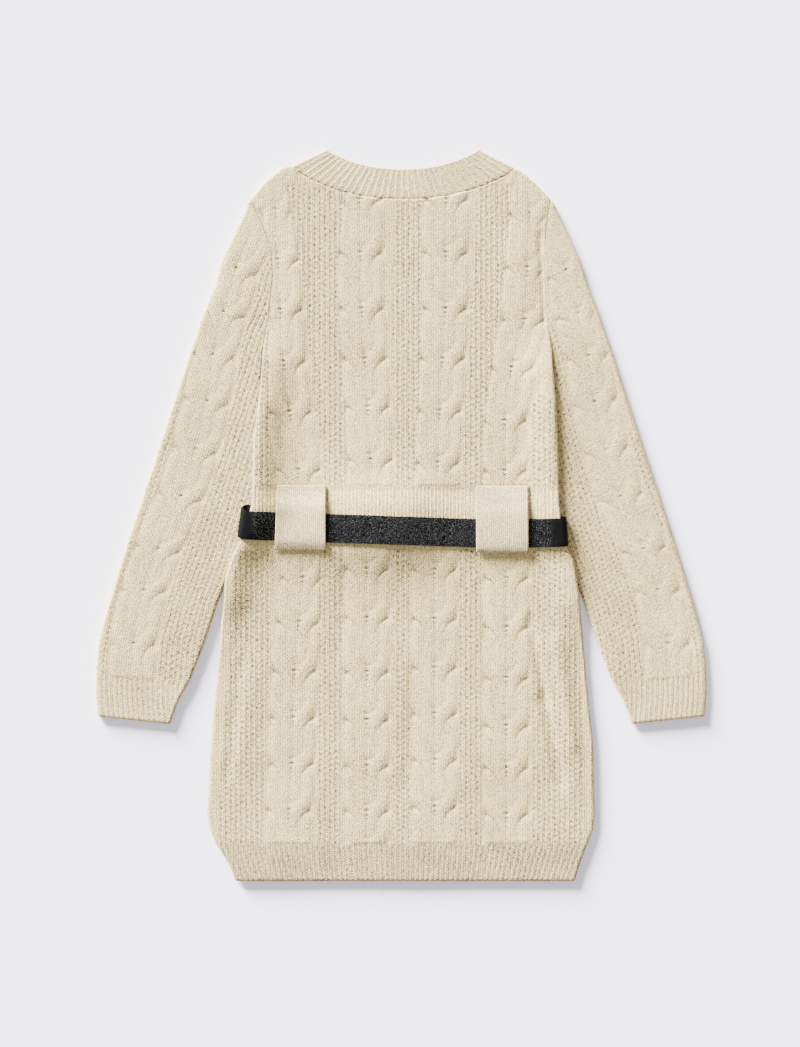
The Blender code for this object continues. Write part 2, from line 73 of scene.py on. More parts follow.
OUTLINE = np.array((
    # up, left half width, right half width
    (0, 181, 190), (20, 189, 196), (40, 202, 204), (56, 209, 210), (72, 212, 212),
    (110, 210, 211), (154, 208, 210), (198, 204, 205), (242, 199, 201), (285, 196, 197),
    (307, 193, 195), (329, 192, 192), (351, 186, 188), (363, 180, 181), (387, 169, 175.5),
    (411, 163, 172.5), (423, 162.5, 172.5), (448, 162, 172), (482, 161, 171), (526, 155, 169),
    (560, 152, 166), (579, 151, 165), (600, 148, 162), (614, 145, 160), (635, 143, 160),
    (662, 140, 158), (690, 142, 157), (717, 152, 160), (744, 165, 164),
), float)
SHOULDER = np.array((
    # inset from the tip, up on the left, up on the right
    (0, 744, 744), (10, 756, 755), (20, 767, 765.5), (32, 777.5, 775.5), (40, 781, 779),
), float)
NECK_MID, NECK_HALF = 2.5, 123.5
RIM_MID, RIM_HALF, RIM_PEAK = 2.0, 85.0, 799.4
NECKS = {
    # panel: (neck up at the middle, power, rim up at the middle, power, up where rows start to bend)
    "back_panel": (745.4, 2.3, 777.7, 2.2, 690.0),
    "front_panel": (680.0, 2.6, 712.0, 2.6, 614.0),
}
# Sleeve, from the cuff's end to the shoulder tip, for the right side
FREE_SLEEVE = (
    # outer x, outer up, inner x, inner up
    (332, 180, 252.5, 171.5), (334.5, 205, 243, 198), (334, 229, 231, 218), (331, 262, 215, 259),
    (319, 307, 200, 304),
)
TUCKED_SLEEVE = (
    # outer x, outer up, how far the inner edge lies under the body's edge, inner up
    (308, 343, 2, 329), (299, 371, 5, 351), (288, 405, 6, 382), (277, 438, 7, 415),
    (264, 477, 8, 460), (248, 526, 7, 510), (243, 541, 4, 528), (236, 563, EDGE_TUCK, 546),
    (229, 584, EDGE_TUCK, 575), (221, 607, EDGE_TUCK, 600), (211, 635, EDGE_TUCK, 614),
    (204, 651, EDGE_TUCK, 635), (196, 679, EDGE_TUCK, 662), (185, 703, EDGE_TUCK, 690),
    (174, 726, EDGE_TUCK, 717), (168.5, 738.5, EDGE_TUCK, 743),
)

# Cables: x and up of each place where the strands cross, from the lowest
CABLES = (
    ((-122, 28), (-122, 78.7), (-119, 129), (-117.5, 179.3), (-116, 230.6), (-111, 284.2), (-107, 332.3)),
    ((-37, -9), (-37, 41.5), (-37, 77.6), (-37, 126.8), (-37, 177.1), (-37, 229.5), (-37, 288.6), (-37, 342)),
    ((37, 31), (37, 82), (37, 133.3), (37, 183.6), (37, 233.9), (37, 287.5), (37, 341)),
    ((115.5, 24), (115.5, 74.3), (115.5, 124.6), (115.5, 170.5), (115.5, 223), (115.5, 278.7), (115.5, 332)),
    ((-32.8, 461.2), (-36.1, 519.2), (-39.3, 571.6), (-42.6, 626.3), (-43.7, 687.5), (-45, 746)),
    ((40.4, 458), (42.6, 514.8), (45.9, 571.6), (49.2, 626.3), (49.2, 687.5), (50, 746)),
    ((-111.5, 450.3), (-121.3, 513.7), (-127.9, 568.4), (-131.2, 625.2), (-134.4, 679.8), (-137, 735)),
    ((113.7, 449.2), (113.7, 503.9), (121.3, 561.8), (135.5, 614.3), (138.3, 671.1), (141, 730)),
)
SLEEVE_CABLE = (
    # each crossing of the sleeve's cable: distance from the cuff's end, and from the outer fold
    (28, 42), (82, 39), (143, 34), (194, 35), (257, 41),
    (309, 40), (364, 35), (415, 26), (466, 21), (517, 18),
)
SKIRT_CABLES = (-20, 390)      # ups between which the skirt's cables and the bodice's run
BODICE_CABLES = (429, 800)
CABLE_HALF = 25.0
CABLE_SPARE, CABLE_FADE = 2.5, 6   # how far past its half width a cable fades out, and over what
STRAND_IN, STRAND_OUT, STRAND_HALF = 6.2, 18.6, 7.4
CROSSING = 10.5        # how far below its crossing a strand is still changing places
SWEEP = 30.0           # height over which the upper strands come in from the edge
GROOVE_IN, GROOVE_OUT = 6.5, 24.6   # where the line of a crossing starts and ends, from the middle
GROOVE_REACH, GROOVE_BEND = 18.5, 8.5   # how far out that line runs, and over what height it turns

# Open, holed stitches: the left and right limits of each zone at some heights
MESH_ZONES = (
    ((40, -203, -150), (240, -192, -143), (362, -180, -136)),
    ((40, -94, -66), (362, -90, -62)),
    ((40, -11, 11), (362, -11, 11)),
    ((40, 62, 90), (362, 62, 88)),
    ((40, 141, 203), (240, 142, 198), (362, 142, 178)),
    ((431, -84, -58), (449, -85, -58), (504, -94, -59), (626, -106, -67), (690, -115, -66), (761, -127, -56)),
    ((431, -9, 18), (458, -9, 19), (508, -10, 21), (626, -12, 24), (725, -9, 24), (760, -6, 22)),
    ((431, 67, 92), (504, 67, 94), (565, 71, 102), (626, 74, 110), (687, 79, 117), (761, 82, 125)),
    ((431, -162, -139), (600, -162, -142), (614, -150, -148)),
    ((431, 137, 172), (520, 140, 170), (534, 152, 156)),
)
MESH_COLUMN, MESH_ROW = 5.7, 6.2

# Creases laid in the cloth: x and up of both ends, half width and depth (ridges are negative)
CREASES = (
    (142, 285, 157, 198, 9, 1.4), (157, 198, 174, 110, 11, 1.6), (171, 262, 186, 150, 12, -1.2),
    (-152, 728, -145, 624, 7, 1.3), (153, 703, 158, 613, 7, 1.3), (-176, 232, -188, 120, 12, 1.0),
    (-60, 330, -66, 262, 14, 0.7), (88, 318, 96, 240, 12, 0.7), (-150, 560, -128, 500, 12, 0.9),
    (150, 540, 130, 470, 12, 0.9), (20, 240, 6, 110, 16, 0.6), (-100, 600, -90, 520, 14, 0.6),
)

LOOPS = {
    # name: (left x, right x, lower end, upper end)
    "belt_loop_left": (-137.8, -82, 361.5, 432.8),
    "belt_loop_right": (82, 139, 359.0, 431.8),
}
LOOP_SLANT = {"belt_loop_left": 3.2}   # how much narrower a loop is at its top, on its left
LOOP_WALL = 2.45

COARSE_COLUMNS, FINE_COLUMNS = 70, 400   # places across a panel: read from the node, and in between
EDGE_SHADE = 3.5                         # how far the shade at a side seam reaches
EDGE_SHADES = (0.30, 0.08)               # its depth on the left and on the right
TOP_COLUMNS, TURN_COLUMNS, BELOW_COLUMNS = 77, 9, 37   # a sleeve's grid: top, fold, underside


# ---------------------------------------------------------------- materials

class Number:
    """A number in a material; the usual operators add Math nodes."""

    def __init__(self, paint, socket):
        self.paint = paint
        self.socket = socket

    def maths(self, operation, *operands):
        made = self.paint.node("ShaderNodeMath", {"operation": operation}, dict(enumerate(operands)))
        return Number(self.paint, made.outputs[0])

    def __add__(self, other):
        return self.maths("ADD", self, other)

    def __sub__(self, other):
        return self.maths("SUBTRACT", self, other)

    def __rsub__(self, other):
        return self.maths("SUBTRACT", other, self)

    def __mul__(self, other):
        return self.maths("MULTIPLY", self, other)

    def __pow__(self, other):
        return self.maths("POWER", self, other)

    def fraction(self):
        return self.maths("FRACT", self)

    def size(self):
        return self.maths("ABSOLUTE", self)

    def sine(self):
        return self.maths("SINE", self)

    def at_least(self, other):
        return self.maths("MAXIMUM", self, other)

    def at_most(self, other):
        return self.maths("MINIMUM", self, other)

    __radd__ = __add__
    __rmul__ = __mul__


class Paint:
    """A material made of nodes round one Principled BSDF."""

    def __init__(self, name, **constants):
        self.material = bpy.data.materials.new(name)
        self.material.use_nodes = True
        self.tree = self.material.node_tree
        self.shader = self.tree.nodes["Principled BSDF"]
        for key, value in constants.items():
            self.shader.inputs[key.replace("_", " ")].default_value = value

    def node(self, kind, settings, inputs):
        made = self.tree.nodes.new(kind)
        for key, value in settings.items():
            setattr(made, key, value)
        for key, value in inputs.items():
            self.feed(made.inputs[key], value)
        return made

    def feed(self, target, value):
        if isinstance(value, Number):
            value = value.socket
        if isinstance(value, bpy.types.NodeSocket):
            self.tree.links.new(value, target)
        else:
            target.default_value = value

    def attribute(self, name):
        made = self.node("ShaderNodeAttribute", {"attribute_name": name}, {})
        return Number(self, made.outputs["Fac"])

    def noise(self, scale, detail=2.0, stretch=(1.0, 1.0, 1.0)):
        place = self.node("ShaderNodeTexCoord", {}, {}).outputs["Object"]
        moved = self.node("ShaderNodeVectorMath", {"operation": "MULTIPLY"}, {0: place, 1: stretch})
        inputs = {"Vector": moved.outputs[0], "Scale": scale, "Detail": detail}
        made = self.node("ShaderNodeTexNoise", {}, inputs)
        return Number(self, made.outputs["Fac"])

    def shaded(self, colour, tone):
        made = self.node("ShaderNodeVectorMath", {"operation": "SCALE"}, {0: colour, "Scale": tone})
        return made.outputs[0]

    def bump(self, height, distance):
        made = self.node("ShaderNodeBump", {}, {"Strength": 1.0, "Distance": distance, "Height": height})
        self.feed(self.shader.inputs["Normal"], made.outputs[0])


def knit_material(name, colour, stitch_depth, fuzz_depth, stitch_painted_shading, waver):
    """Soft wool-like yarn: rows of V stitches and fuzz, with painted shade between the stitches and painted
    shade from the mesh in the open stitches, cable eyes, crossing lines, seams, edges and hem.
    """
    paint = Paint(name, Roughness=0.92, Sheen_Weight=0.25, Sheen_Roughness=0.6, Specular_IOR_Level=0.15)
    uv = paint.node("ShaderNodeUVMap", {"uv_map": "stitch"}, {})
    parts = paint.node("ShaderNodeSeparateXYZ", {}, {0: uv.outputs[0]})
    column = Number(paint, parts.outputs[0])
    row = Number(paint, parts.outputs[1])
    wobble = paint.noise(330.0, 2.0)
    placed = column + wobble * waver
    across = (placed.fraction() - 0.5).size() * 2.0
    stagger = (placed - placed.fraction()) * 0.5
    along = (row + stagger + across * 0.5 + wobble * waver).fraction()
    stitch = (along * math.pi).sine() * (1.0 - across ** 2.0)
    fuzz = paint.noise(820.0, 1.5)
    yarn = paint.noise(380.0, 2.0, (1.0, 0.8, 1.0))
    patches = paint.noise(26.0, 3.0)
    # painted shade carried by the mesh: darkens the base colour in holes, cable eyes, crossing lines, seams,
    # edges and the hem
    hole_and_painted_shade = paint.attribute("hole_and_painted_shade").at_least(0.0).at_most(1.0)
    # the stitch term is painted shading: lighter on each stitch's crown, darker in the gaps; yarn, fuzz and
    # patches are random tone
    tone = 0.64 + (stitch - 0.4) * stitch_painted_shading + (yarn - 0.5) * 0.7
    tone = tone + (fuzz - 0.5) * 1.35 + (patches - 0.5) * 0.30
    tone = tone - hole_and_painted_shade * 0.70
    tone = tone.at_least(0.05)
    paint.feed(paint.shader.inputs["Base Color"], paint.shaded(colour, tone))
    paint.bump(stitch * stitch_depth + fuzz * fuzz_depth + yarn * (fuzz_depth * 1.4), 0.001)
    return paint.material


def leather_material():
    """Black leather with a raised grain that fades out on the smooth ends of the strap; the grain's bright
    specks are painted highlights.
    """
    paint = Paint("black_leather", Specular_IOR_Level=0.06)
    grain = paint.noise(980.0, 1.0, (0.9, 1.1, 1.0))
    fine = paint.noise(1500.0, 2.0)
    smooth_part = paint.attribute("smooth").at_least(0.0).at_most(1.0)
    pebble_and_painted_glint = ((grain - 0.53) * 8.0).at_least(0.0).at_most(1.0) * (1.0 - smooth_part)
    # bright specks on the pebbles are painted highlights (glints) in the base colour
    tone = 0.1 + pebble_and_painted_glint ** 1.5 * 22.0 + fine * 0.2 + smooth_part * 0.8
    paint.feed(paint.shader.inputs["Base Color"], paint.shaded(LEATHER_COLOUR, tone))
    paint.feed(paint.shader.inputs["Roughness"], 0.34 + fine * 0.18 + smooth_part * 0.12)
    paint.bump(pebble_and_painted_glint * 0.9 + fine * 0.1, 0.001)
    return paint.material


def metal_material():
    """Dark plated metal with faint polishing marks."""
    paint = Paint("dark_metal", Metallic=1.0)
    marks = paint.noise(300.0, 3.0, (0.2, 1.0, 1.0))
    paint.feed(paint.shader.inputs["Base Color"], paint.shaded(METAL_COLOUR, 0.85 + marks * 0.3))
    paint.feed(paint.shader.inputs["Roughness"], 0.24 + marks * 0.16)
    return paint.material


def floor_material():
    """Matt studio paper that also glows faintly: painted light, also in the shadows cast on it."""
    paint = Paint("studio_paper", Roughness=0.9, Specular_IOR_Level=0.1,
                  Emission_Color=FLOOR_GLOW, Emission_Strength=0.22)
    cloudy = paint.noise(0.8, 1.0)
    paint.feed(paint.shader.inputs["Base Color"], paint.shaded(FLOOR_COLOUR, 0.995 + cloudy * 0.01))
    return paint.material


# ---------------------------------------------------------------- heights and relief

def soft_step(value):
    """0 below 0, 1 above 1, and a smooth rise between."""
    t = np.clip(value, 0.0, 1.0)
    return t * t * (3 - 2 * t)


def smooth(grid, passes):
    """A grid of heights with its facets softened."""
    for _ in range(passes):
        for axis in (0, 1):
            rolled = np.moveaxis(grid, axis, 0)
            inner = (rolled[:-2] + 2 * rolled[1:-1] + rolled[2:]) / 4
            rolled[1:-1] = inner
    return grid


def resample(grid, rows, columns):
    """The same grid of heights, read between its points at a finer spacing."""
    r = np.linspace(0, grid.shape[0] - 1, rows)
    c = np.linspace(0, grid.shape[1] - 1, columns)
    r0 = np.minimum(r.astype(int), grid.shape[0] - 2)
    c0 = np.minimum(c.astype(int), grid.shape[1] - 2)
    fr = (r - r0)[:, None]
    fc = (c - c0)[None, :]
    low = grid[r0][:, c0] * (1 - fc) + grid[r0][:, c0 + 1] * fc
    high = grid[r0 + 1][:, c0] * (1 - fc) + grid[r0 + 1][:, c0 + 1] * fc
    return low * (1 - fr) + high * fr


def cad_heights(node, x, up, from_above=True):
    """Height of a frame node's upper or lower surface at grids of places."""
    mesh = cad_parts[node].data
    tree = BVHTree.FromPolygons([v.co for v in mesh.vertices], [p.vertices for p in mesh.polygons])
    start, way = (0.1, -1.0) if from_above else (-0.1, 1.0)
    heights = np.full(x.shape, np.nan)
    for index in np.ndindex(x.shape):
        place = Vector((x[index] * MM, (up[index] - ORIGIN_UP) * MM, start))
        hit = tree.ray_cast(place, Vector((0.0, 0.0, way)))[0]
        if hit is not None:
            heights[index] = hit.z / MM
    for row in heights:
        known = ~np.isnan(row)
        if known.any():
            row[~known] = np.interp(np.flatnonzero(~known), np.flatnonzero(known), row[known])
    for column in heights.T:
        known = ~np.isnan(column)
        column[~known] = np.interp(np.flatnonzero(~known), np.flatnonzero(known), column[known])
    return heights


def strands(dx, h):
    """Height of a cable's strands at dx from its middle and h above the nearest crossing."""
    sweep = soft_step((h + CROSSING) / SWEEP)
    turn = soft_step((h + CROSSING) / (2 * CROSSING))
    near = np.exp(-(h / 8.0) ** 2)
    swept = np.exp(-((h - 5.0) / 13.0) ** 2)
    over = STRAND_IN + (STRAND_OUT - STRAND_IN) * sweep
    under = STRAND_OUT - (STRAND_OUT - STRAND_IN) * turn
    narrow = 1 / np.sqrt(1 + 2.0 * sweep * (1 - sweep))
    over_height = 0.45 + 0.3 * swept - (0.4 + 0.45 * swept) * ((dx - over) * narrow / STRAND_HALF) ** 2
    under_height = 0.45 - 1.1 * near - (0.4 + 0.3 * near) * ((dx - under) / STRAND_HALF) ** 2
    return np.maximum(over_height, under_height)


def groove(dx, h):
    """Line where the outer strands come out from under a crossing, at h from its height."""
    middle = GROOVE_IN + GROOVE_REACH * np.exp(np.minimum(h, 0) / GROOVE_BEND)
    steep = np.hypot(1, (middle - GROOVE_IN) / GROOVE_BEND)
    fade = np.exp(np.minimum(h, 0) / 13) * (h < 1.0) * soft_step((GROOVE_OUT - dx) / 3)
    return np.exp(-((dx - middle) / steep / 1.15) ** 2) * fade


def cable_share(dx):
    """How much of a place at dx from a cable's middle is cable."""
    return soft_step((CABLE_HALF + CABLE_SPARE - dx) / CABLE_FADE)


def cables(x, up):
    """Height of the cables, how much of a place is cable, and the painted shade of their eyes and crossing
    lines.
    """
    height = np.full(x.shape, -9.0)
    inside = np.zeros(x.shape)
    painted_shade = np.zeros(x.shape)
    for cable in CABLES:
        points = np.array(cable, float)
        low, high = SKIRT_CABLES if points[0, 1] < WAIST_LOW else BODICE_CABLES
        middle = np.interp(up, points[:, 1], points[:, 0])
        dx = np.abs(x - middle)
        nearest = points[np.abs(up[..., None] - points[:, 1]).argmin(-1), 1]
        h = up - nearest
        strand = strands(dx, h)
        part = cable_share(dx) * (up > low) * (up < high)
        height = np.where(part > inside, strand, height)
        # painted shade in the eyes where the strands cross
        for below, wide, tall, deep in ((0.0, 2.6, 1.1, 1.0), (5.5, 1.5, 1.0, 0.75), (10.0, 1.2, 0.9, 0.55)):
            eye = np.exp(-(dx / wide) ** 2 - ((h + below) / tall) ** 2) * deep
            painted_shade = np.maximum(painted_shade, eye * part)
        line = groove(dx, h) * part
        height = height - 0.5 * line
        # painted shade along each crossing line, deeper on its left side
        painted_shade = np.maximum(painted_shade, (0.38 - 0.12 * np.sign(x - middle)) * line)
        inside = np.maximum(inside, part)
    return height, inside, painted_shade


def mesh_stitches(x, up):
    """Relief and painted shade of open stitches: columns of small holes, each set off by half a row, with
    painted shade in the holes.
    """
    column = np.floor(x / MESH_COLUMN)
    fx = (x / MESH_COLUMN - column - 0.5) * MESH_COLUMN
    v = up / MESH_ROW + 0.5 * (column % 2) + 0.06 * np.sin(column * 2.3)
    row = np.floor(v)
    fv = (v - row - 0.5) * MESH_ROW
    uneven = 0.76 + 0.24 * np.sin(12.9 * column + 4.7 * row) * np.cos(3.1 * column - 7.3 * row)
    shift = 0.5 * np.sin(5.3 * row + 2.1 * column)
    hole_and_painted_shade = np.exp(-((fx - shift) / 1.35) ** 2 - ((fv + 0.35 * fx) / 1.5) ** 2) * uneven
    ridge = 0.05 * np.abs(fx) / (MESH_COLUMN / 2) + 0.28 * np.cos(2 * math.pi * fv / MESH_ROW)
    return ridge - 1.2 * hole_and_painted_shade, hole_and_painted_shade


def zone_share(x, up):
    """How much of a place lies in the open-stitch zones."""
    share = np.zeros(x.shape)
    for zone in MESH_ZONES:
        rows = np.array(zone, float)
        left = np.interp(up, rows[:, 0], rows[:, 1])
        right = np.interp(up, rows[:, 0], rows[:, 2])
        within = soft_step((x - left) / 3.6) * soft_step((right - x) / 3.6)
        within = within * (up >= rows[0, 0] - 1) * (up <= rows[-1, 0] + 1)
        share = np.maximum(share, within)
    return share


def creases(x, up):
    """The cloth's own soft troughs and ridges."""
    total = np.zeros(x.shape)
    for x0, up0, x1, up1, half, depth in CREASES:
        length = math.hypot(x1 - x0, up1 - up0)
        along = ((x - x0) * (x1 - x0) + (up - up0) * (up1 - up0)) / length
        across = ((x - x0) * (up1 - up0) - (up - up0) * (x1 - x0)) / length
        beyond = np.maximum(0, np.maximum(-along, along - length))
        reach = np.hypot(across / half, beyond / (1.6 * half))
        total -= depth * np.where(reach < 1, 0.5 + 0.5 * np.cos(math.pi * np.minimum(reach, 1)), 0)
    wander = 0.22 * np.sin(x / 31 + up / 57) + 0.18 * np.sin(x / 23 - up / 41 + 1.3)
    return total + wander


def cable_knit(x, up):
    """Relief and painted shade (open stitches, cable eyes, crossing lines) of the cable-knit cloth of body
    and sleeves.
    """
    height, inside, eyes = cables(x, up)
    mesh, painted_shade = mesh_stitches(x, up)
    share = zone_share(x, up)
    inside = inside * (1 - share)
    plain = -0.2 + 0.06 * np.cos(2 * math.pi * x / 4.8)
    relief = plain * (1 - inside) * (1 - share) + mesh * share + np.where(inside > 0, height, 0) * inside
    return relief - 1.1 * eyes, np.maximum(painted_shade * share, eyes)


def ribs(x, pitch, depth):
    """Relief and shade of a rib that repeats across x."""
    wave = np.cos(2 * math.pi * x / pitch)
    return depth * wave, 0.22 * np.maximum(0, -wave) ** 2


# ---------------------------------------------------------------- meshes

def lay(grid):
    """Places in millimetres above the hem, as metres in the frame."""
    return (grid - np.array((0.0, ORIGIN_UP, 0.0))) * MM


def shell(name, outer, inner, stride, finish, shade, stitch, closed=False, inward=False):
    """A piece of cloth: a fine outer grid and a coarser inner one, joined at their edges.

    inner has every stride-th row and column of outer.  closed joins the last row to the
    first.  inward is for grids whose outer side faces down.
    """
    rows, columns = outer.shape[:2]
    inner_rows, inner_columns = inner.shape[:2]
    vertices = np.concatenate((lay(outer).reshape(-1, 3), lay(inner).reshape(-1, 3)))
    first = rows * columns

    def quads(count, wide, start, turned):
        last = count if closed else count - 1
        r, c = np.meshgrid(np.arange(last), np.arange(wide - 1), indexing="ij")
        above = (r + 1) % count
        faces = np.stack((r * wide + c, r * wide + c + 1, above * wide + c + 1, above * wide + c), -1)
        faces = faces.reshape(-1, 4) + start
        return (faces[:, ::-1] if turned else faces).tolist()

    faces = quads(rows, columns, 0, inward) + quads(inner_rows, inner_columns, first, not inward)

    def rim(outer_line, inner_line, turned):
        for k in range(len(inner_line) - 1):
            piece = outer_line[k * stride:(k + 1) * stride + 1]
            face = [int(i) for i in piece] + [int(inner_line[k + 1]), int(inner_line[k])]
            faces.append(face if turned == inward else face[::-1])

    ids = np.arange(rows * columns).reshape(rows, columns)
    inner_ids = np.arange(inner_rows * inner_columns).reshape(inner_rows, inner_columns) + first
    if closed:
        ids = np.vstack((ids, ids[:1]))
        inner_ids = np.vstack((inner_ids, inner_ids[:1]))
    else:
        rim(ids[0], inner_ids[0], True)
        rim(ids[-1], inner_ids[-1], False)
    rim(ids[:, 0], inner_ids[:, 0], False)
    rim(ids[:, -1], inner_ids[:, -1], True)
    mesh = bpy.data.meshes.new(name)
    mesh.from_pydata(vertices.tolist(), [], faces)
    mesh.materials.append(finish)
    mesh.shade_smooth()
    mesh.set_sharp_from_angle(angle=math.radians(75))
    inner_stitch = stitch[::stride, ::stride][:inner_rows, :inner_columns]
    per_vertex = np.concatenate((stitch.reshape(-1, 2), inner_stitch.reshape(-1, 2)))
    loops = np.empty(len(mesh.loops), np.int32)
    mesh.loops.foreach_get("vertex_index", loops)
    layer = mesh.uv_layers.new(name="stitch")
    layer.data.foreach_set("uv", per_vertex[loops].astype(np.float32).ravel())
    # painted shade for the material: darkens the base colour where the piece asks for it
    dark = mesh.attributes.new("hole_and_painted_shade", "FLOAT", "POINT")
    values = np.concatenate((shade.ravel(), np.zeros(inner_rows * inner_columns)))
    dark.data.foreach_set("value", values.astype(np.float32))
    piece = bpy.data.objects.new(name, mesh)
    bpy.context.scene.collection.objects.link(piece)
    return piece


def keep(piece, slot, *nodes):
    """Hands a finished piece to the frame, in place of the nodes it stands for."""
    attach(piece, "root")
    if nodes:
        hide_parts(*nodes)
    return piece


def half_width(side, up):
    """Half width of the body at a height, on the left (-1) or the right (1)."""
    return np.interp(up, OUTLINE[:, 0], OUTLINE[:, 1 if side < 0 else 2])


def counted(length, cell, stride):
    """Points along a length for cells of about this size, in whole strides."""
    return int(round(length / cell / stride)) * stride + 1


def every(stride):
    """Picks the inner grid's points out of an outer grid."""
    return slice(None, None, stride), slice(None, None, stride)


def top_curve(panel, s):
    """Up of a panel's shoulder and neck edge, for s from 0 at the left to 1 at the right."""
    left, right = OUTLINE[-1, 1:]
    x = -left + s * (left + right)
    inset_left, inset_right = x + left, right - x
    low, power = NECKS[panel][:2]
    u = np.clip((x - NECK_MID) / NECK_HALF, -1, 1)
    peak = np.where(u < 0, SHOULDER[-1, 1], SHOULDER[-1, 2])
    up = low + (peak - low) * np.abs(u) ** power + 1.4 * np.exp(-((np.abs(u) - 0.975) / 0.03) ** 2)
    up = np.where(inset_left < 40, np.interp(inset_left, SHOULDER[:, 0], SHOULDER[:, 1]), up)
    return np.where(inset_right < 40, np.interp(inset_right, SHOULDER[:, 0], SHOULDER[:, 2]), up)


def panel_places(panel, edge_ups, s):
    """x, up and edge height of a panel's grid of places."""
    edge, share = np.meshgrid(edge_ups, s, indexing="ij")
    left, right = half_width(-1, edge), half_width(1, edge)
    x = -left + share * (left + right)
    bend = NECKS[panel][4]
    lift = np.clip((edge - bend) / (SHOULDER_TIP - bend), 0, 1)
    up = np.where(edge > bend, bend + lift * (top_curve(panel, share) - bend), edge)
    return x, up, edge, share


def rounded(inset, radius):
    """How far the cloth drops at an inset from an edge that is rounded to a radius."""
    t = np.clip(1 - inset / radius, 0, 1)
    return radius * (1 - np.sqrt(1 - t ** 2 * 0.9985))


def side_drop(inset, edge):
    """The same at the body's side: a wide roll below the armhole, a tight one along it."""
    return rounded(inset, np.interp(edge, (526, 614, 690, 700), (ROLL, 0.6, 0.6, CUT_RADIUS)))


def panel_grid(panel, low, high, cell_x, cell_up, stride, relief_of):
    """Outer and inner grids of one stretch of a panel, with shade and stitch coordinates."""
    back = panel == "back_panel"
    wide = 2 * half_width(1, low) if high < 500 else 330
    s = np.linspace(0, 1, counted(wide, cell_x, stride))
    s = s - 0.006 * np.sin(2 * math.pi * s)
    edge_ups = np.linspace(low, high, counted(high - low, cell_up, stride))
    x, up, edge, share = panel_places(panel, edge_ups, s)
    inset = np.minimum(x + half_width(-1, edge), half_width(1, edge) - x)
    coarse_s = np.linspace(0.022, 0.978, COARSE_COLUMNS)
    coarse = panel_places(panel, np.linspace(low, high, max(6, int((high - low) / 5))), coarse_s)
    level = cad_heights(panel, coarse[0], coarse[1], back)
    base = resample(smooth(level, 3), len(edge_ups), FINE_COLUMNS)
    spread = np.interp(s, coarse_s, np.arange(COARSE_COLUMNS)) / (COARSE_COLUMNS - 1) * (FINE_COLUMNS - 1)
    index = np.minimum(spread.astype(int), FINE_COLUMNS - 2)
    part = spread - index
    base = base[:, index] * (1 - part) + base[:, index + 1] * part
    relief, shade = relief_of(x, up)
    calm = soft_step(inset / 5)
    out = 1.0 if back else -1.0
    roll = side_drop(inset, edge)
    ends = [end for end in (low, high) if 0 < end < SHOULDER_TIP]
    for end in ends:
        meet = soft_step(np.abs(up - end) / 3.5)
        relief = relief * meet - 0.3 * (1 - meet)
    thick = (RELIEF * relief + creases(x, up)) * calm if back else np.minimum(relief - 0.9, 0) * calm
    end_up = top_curve(panel, share)
    rounding = np.zeros(x.shape)
    if high == SHOULDER_TIP:
        rounding = rounded(np.maximum(0, end_up - up), CUT_RADIUS)
    if low == 0:
        rounding = rounded(up, CUT_RADIUS)
    z = base + out * (thick - roll - rounding)
    if back:
        z = np.maximum(z, base - ROLL - 1.0)
    else:
        z = np.maximum(z, 0.02)
    outer = np.stack((x, up, z), -1)
    pick = every(stride)
    ix, iup, ibase, iinset = x[pick].copy(), up[pick], base[pick], inset[pick]
    shift = np.clip(WALL - iinset, 0, None)
    ix = ix - np.sign(ix) * shift
    iz = np.where(iinset < 1.0, outer[pick][..., 2], ibase - out * (WALL + 0.5))
    inner = np.stack((ix, iup, iz), -1)
    # painted shade along the side seams, deeper on the left
    edge_painted_shade = np.interp(inset, (0, EDGE_SHADE), (1.0, 0.0)) * np.where(x < 0, *EDGE_SHADES)
    stitch = np.stack((x / STITCH, up / STITCH), -1)
    return outer, inner, np.maximum(shade, edge_painted_shade), stitch


def flat_area(low, high):
    """Area in square metres of the body's outline between two heights."""
    ups = np.linspace(low, high, 200)
    return float((half_width(-1, ups) + half_width(1, ups)).mean() * (high - low)) * MM * MM


def make_body(knit):
    """The back in four stretches of knit, and the front, each laid on what is below it."""
    def hem_rib(x, up):
        height, shade = ribs(x / np.interp(up, (0, 40), (0.93, 1.0)), 5.85, 0.15)
        # the whole hem gets extra painted shade, darker than the rest of the knit
        return height - 0.2, shade + 0.24

    def waist_rib(x, up):
        height, shade = ribs(x, 4.1, 0.2)
        return height - 0.9, shade

    stretches = (
        # name, low, high, cell across, cell up, relief
        ("back_hem", 0.0, HEM_TOP, 0.75, 2.2, hem_rib),
        ("back_skirt", HEM_TOP, WAIST_LOW, 1.3, 1.25, cable_knit),
        ("back_waist", WAIST_LOW, WAIST_TOP, 0.7, 2.0, waist_rib),
        ("back_bodice", WAIST_TOP, SHOULDER_TIP, 1.2, 1.15, cable_knit),
    )
    front = panel_grid("front_panel", 0.0, SHOULDER_TIP, 2.6, 2.6, 4, cable_knit)
    front_piece = shell("front", *front[:2], 4, knit, *front[2:], inward=True)
    keep(front_piece, "cream_knit", "front_panel")
    for name, low, high, cell_x, cell_up, relief in stretches:
        made = panel_grid("back_panel", low, high, cell_x, cell_up, 5, relief)
        piece = shell(name, *made[:2], 5, knit, *made[2:])
        keep(piece, "cream_knit", "back_panel")
        widest = float(2 * half_width(1, np.linspace(low, high, 50)).max()) * MM
        tall = (high if high < SHOULDER_TIP else SHOULDER_TOP) - low
        area = flat_area(low, high) * (1.06 if high == SHOULDER_TIP else 1.0)
        area = min(area, widest * tall * MM)


